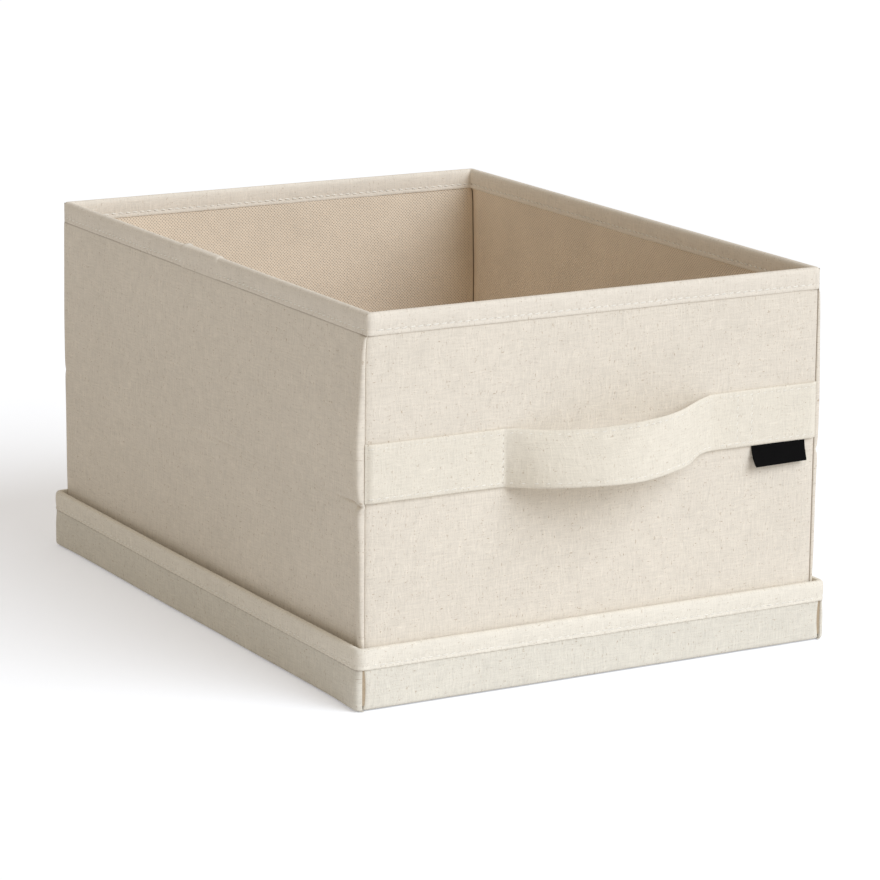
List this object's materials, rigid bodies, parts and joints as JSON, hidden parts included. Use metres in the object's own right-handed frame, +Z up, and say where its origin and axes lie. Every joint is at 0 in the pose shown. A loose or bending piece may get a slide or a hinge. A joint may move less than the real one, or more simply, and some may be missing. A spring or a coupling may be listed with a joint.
{
  "type": "fabric storage box with lid",
  "caption": "Open linen storage box standing in its own upturned lid, with a bound rim, a stitched pull strap on the front, and boarded walls that fold down at a mid-height crease.",
  "frame": {"origin": "centre of the flat underside of the upturned lid, on which the object stands", "axes": "+Z up, the front wall with the pull strap faces -Y, +X is to the right seen from the front"},
  "size_m": [0.283, 0.3993, 0.2033],
  "materials": {
    "outer_linen": "matte slubby linen and cotton weave, natural off-white with brown flecks",
    "binding_tape": "matte linen tape, stitched",
    "strap_linen": "doubled linen strap with stitched edges",
    "lining_cloth": "beige non-woven cloth with a fine embossed lattice",
    "paperboard": "grey-brown paperboard, hidden between the cloths",
    "tag_ribbon": "black woven ribbon, bare"
  },
  "bodies": {
    "lid": {"lid_panel_cloth": "outer_linen", "lid_board": "paperboard", "lid_panel_lining": "lining_cloth", "lid_rim_cloths": "outer_linen", "lid_rim_linings": "lining_cloth", "lid_rim_board_left": "paperboard", "lid_rim_board_right": "paperboard", "lid_rim_board_front": "paperboard", "lid_rim_board_back": "paperboard", "lid_binding": "binding_tape"},
    "base": {"base_cover": "outer_linen", "base_board": "paperboard", "base_lining": "lining_cloth", "corner_gusset_front_left": "outer_linen", "corner_gusset_front_right": "outer_linen", "corner_gusset_back_left": "outer_linen", "corner_gusset_back_right": "outer_linen", "rim_binding_corners": "binding_tape"},
    "left_lower": {"left_cover_lower": "outer_linen", "left_board_lower": "paperboard", "left_lining_lower": "lining_cloth"},
    "left_upper": {"left_cover_upper": "outer_linen", "left_board_upper": "paperboard", "left_lining_upper": "lining_cloth", "rim_binding_left": "binding_tape"},
    "right_lower": {"right_cover_lower": "outer_linen", "right_board_lower": "paperboard", "right_lining_lower": "lining_cloth"},
    "right_upper": {"right_cover_upper": "outer_linen", "right_board_upper": "paperboard", "right_lining_upper": "lining_cloth", "rim_binding_right": "binding_tape"},
    "front_lower": {"front_cover_lower": "outer_linen", "front_board_lower": "paperboard", "front_lining_lower": "lining_cloth"},
    "front_upper": {"front_cover_upper": "outer_linen", "front_board_upper": "paperboard", "front_lining_upper": "lining_cloth", "rim_binding_front": "binding_tape", "strap_left": "strap_linen", "strap_right": "strap_linen", "handle_loop": "strap_linen"},
    "back_lower": {"back_cover_lower": "outer_linen", "back_board_lower": "paperboard", "back_lining_lower": "lining_cloth"},
    "back_upper": {"back_cover_upper": "outer_linen", "back_board_upper": "paperboard", "back_lining_upper": "lining_cloth", "rim_binding_back": "binding_tape"},
    "tag": {"folded_tag": "tag_ribbon"}
  },
  "joints": [
    {"name": "box_lift", "type": "slide", "parent": "lid", "child": "base", "axis": [0, 0, 1], "range_m": [0, 0.08]},
    {"name": "left_wall_fold", "type": "hinge", "parent": "base", "child": "left_lower", "pos_m": [-0.132, 0, 0.007], "axis": [0, 1, 0], "range_deg": [0, 78], "deforming": ["corner_gusset_front_left", "corner_gusset_front_right", "corner_gusset_back_left", "corner_gusset_back_right", "rim_binding_corners", "handle_loop", "folded_tag"]},
    {"name": "left_wall_crease", "type": "hinge", "parent": "left_lower", "child": "left_upper", "pos_m": [-0.1358, 0, 0.1048], "axis": [0, 1, 0], "range_deg": [-156, 0]},
    {"name": "right_wall_fold", "type": "hinge", "parent": "base", "child": "right_lower", "pos_m": [0.132, 0, 0.007], "axis": [0, -1, 0], "range_deg": [0, 78]},
    {"name": "right_wall_crease", "type": "hinge", "parent": "right_lower", "child": "right_upper", "pos_m": [0.1358, 0, 0.1048], "axis": [0, -1, 0], "range_deg": [-156, 0]},
    {"name": "front_wall_fold", "type": "hinge", "parent": "base", "child": "front_lower", "pos_m": [0, -0.1795, 0.007], "axis": [-1, 0, 0], "range_deg": [0, 78]},
    {"name": "front_wall_crease", "type": "hinge", "parent": "front_lower", "child": "front_upper", "pos_m": [0, -0.1833, 0.1048], "axis": [-1, 0, 0], "range_deg": [-156, 0]},
    {"name": "back_wall_fold", "type": "hinge", "parent": "base", "child": "back_lower", "pos_m": [0, 0.1795, 0.007], "axis": [1, 0, 0], "range_deg": [0, 78]},
    {"name": "back_wall_crease", "type": "hinge", "parent": "back_lower", "child": "back_upper", "pos_m": [0, 0.1833, 0.1048], "axis": [1, 0, 0], "range_deg": [-156, 0]},
    {"name": "tag_flap", "type": "hinge", "parent": "front_upper", "child": "tag", "pos_m": [0.11075, -0.1834, 0.1107], "axis": [-1, 0, 0], "range_deg": [0, 90]}
  ],
  "couplings": [
    {"joint": "left_wall_crease", "follows": "left_wall_fold", "ratio": -2},
    {"joint": "right_wall_fold", "follows": "left_wall_fold", "ratio": 1},
    {"joint": "right_wall_crease", "follows": "left_wall_fold", "ratio": -2},
    {"joint": "front_wall_fold", "follows": "left_wall_fold", "ratio": 1},
    {"joint": "front_wall_crease", "follows": "left_wall_fold", "ratio": -2},
    {"joint": "back_wall_fold", "follows": "left_wall_fold", "ratio": 1},
    {"joint": "back_wall_crease", "follows": "left_wall_fold", "ratio": -2}
  ]
}
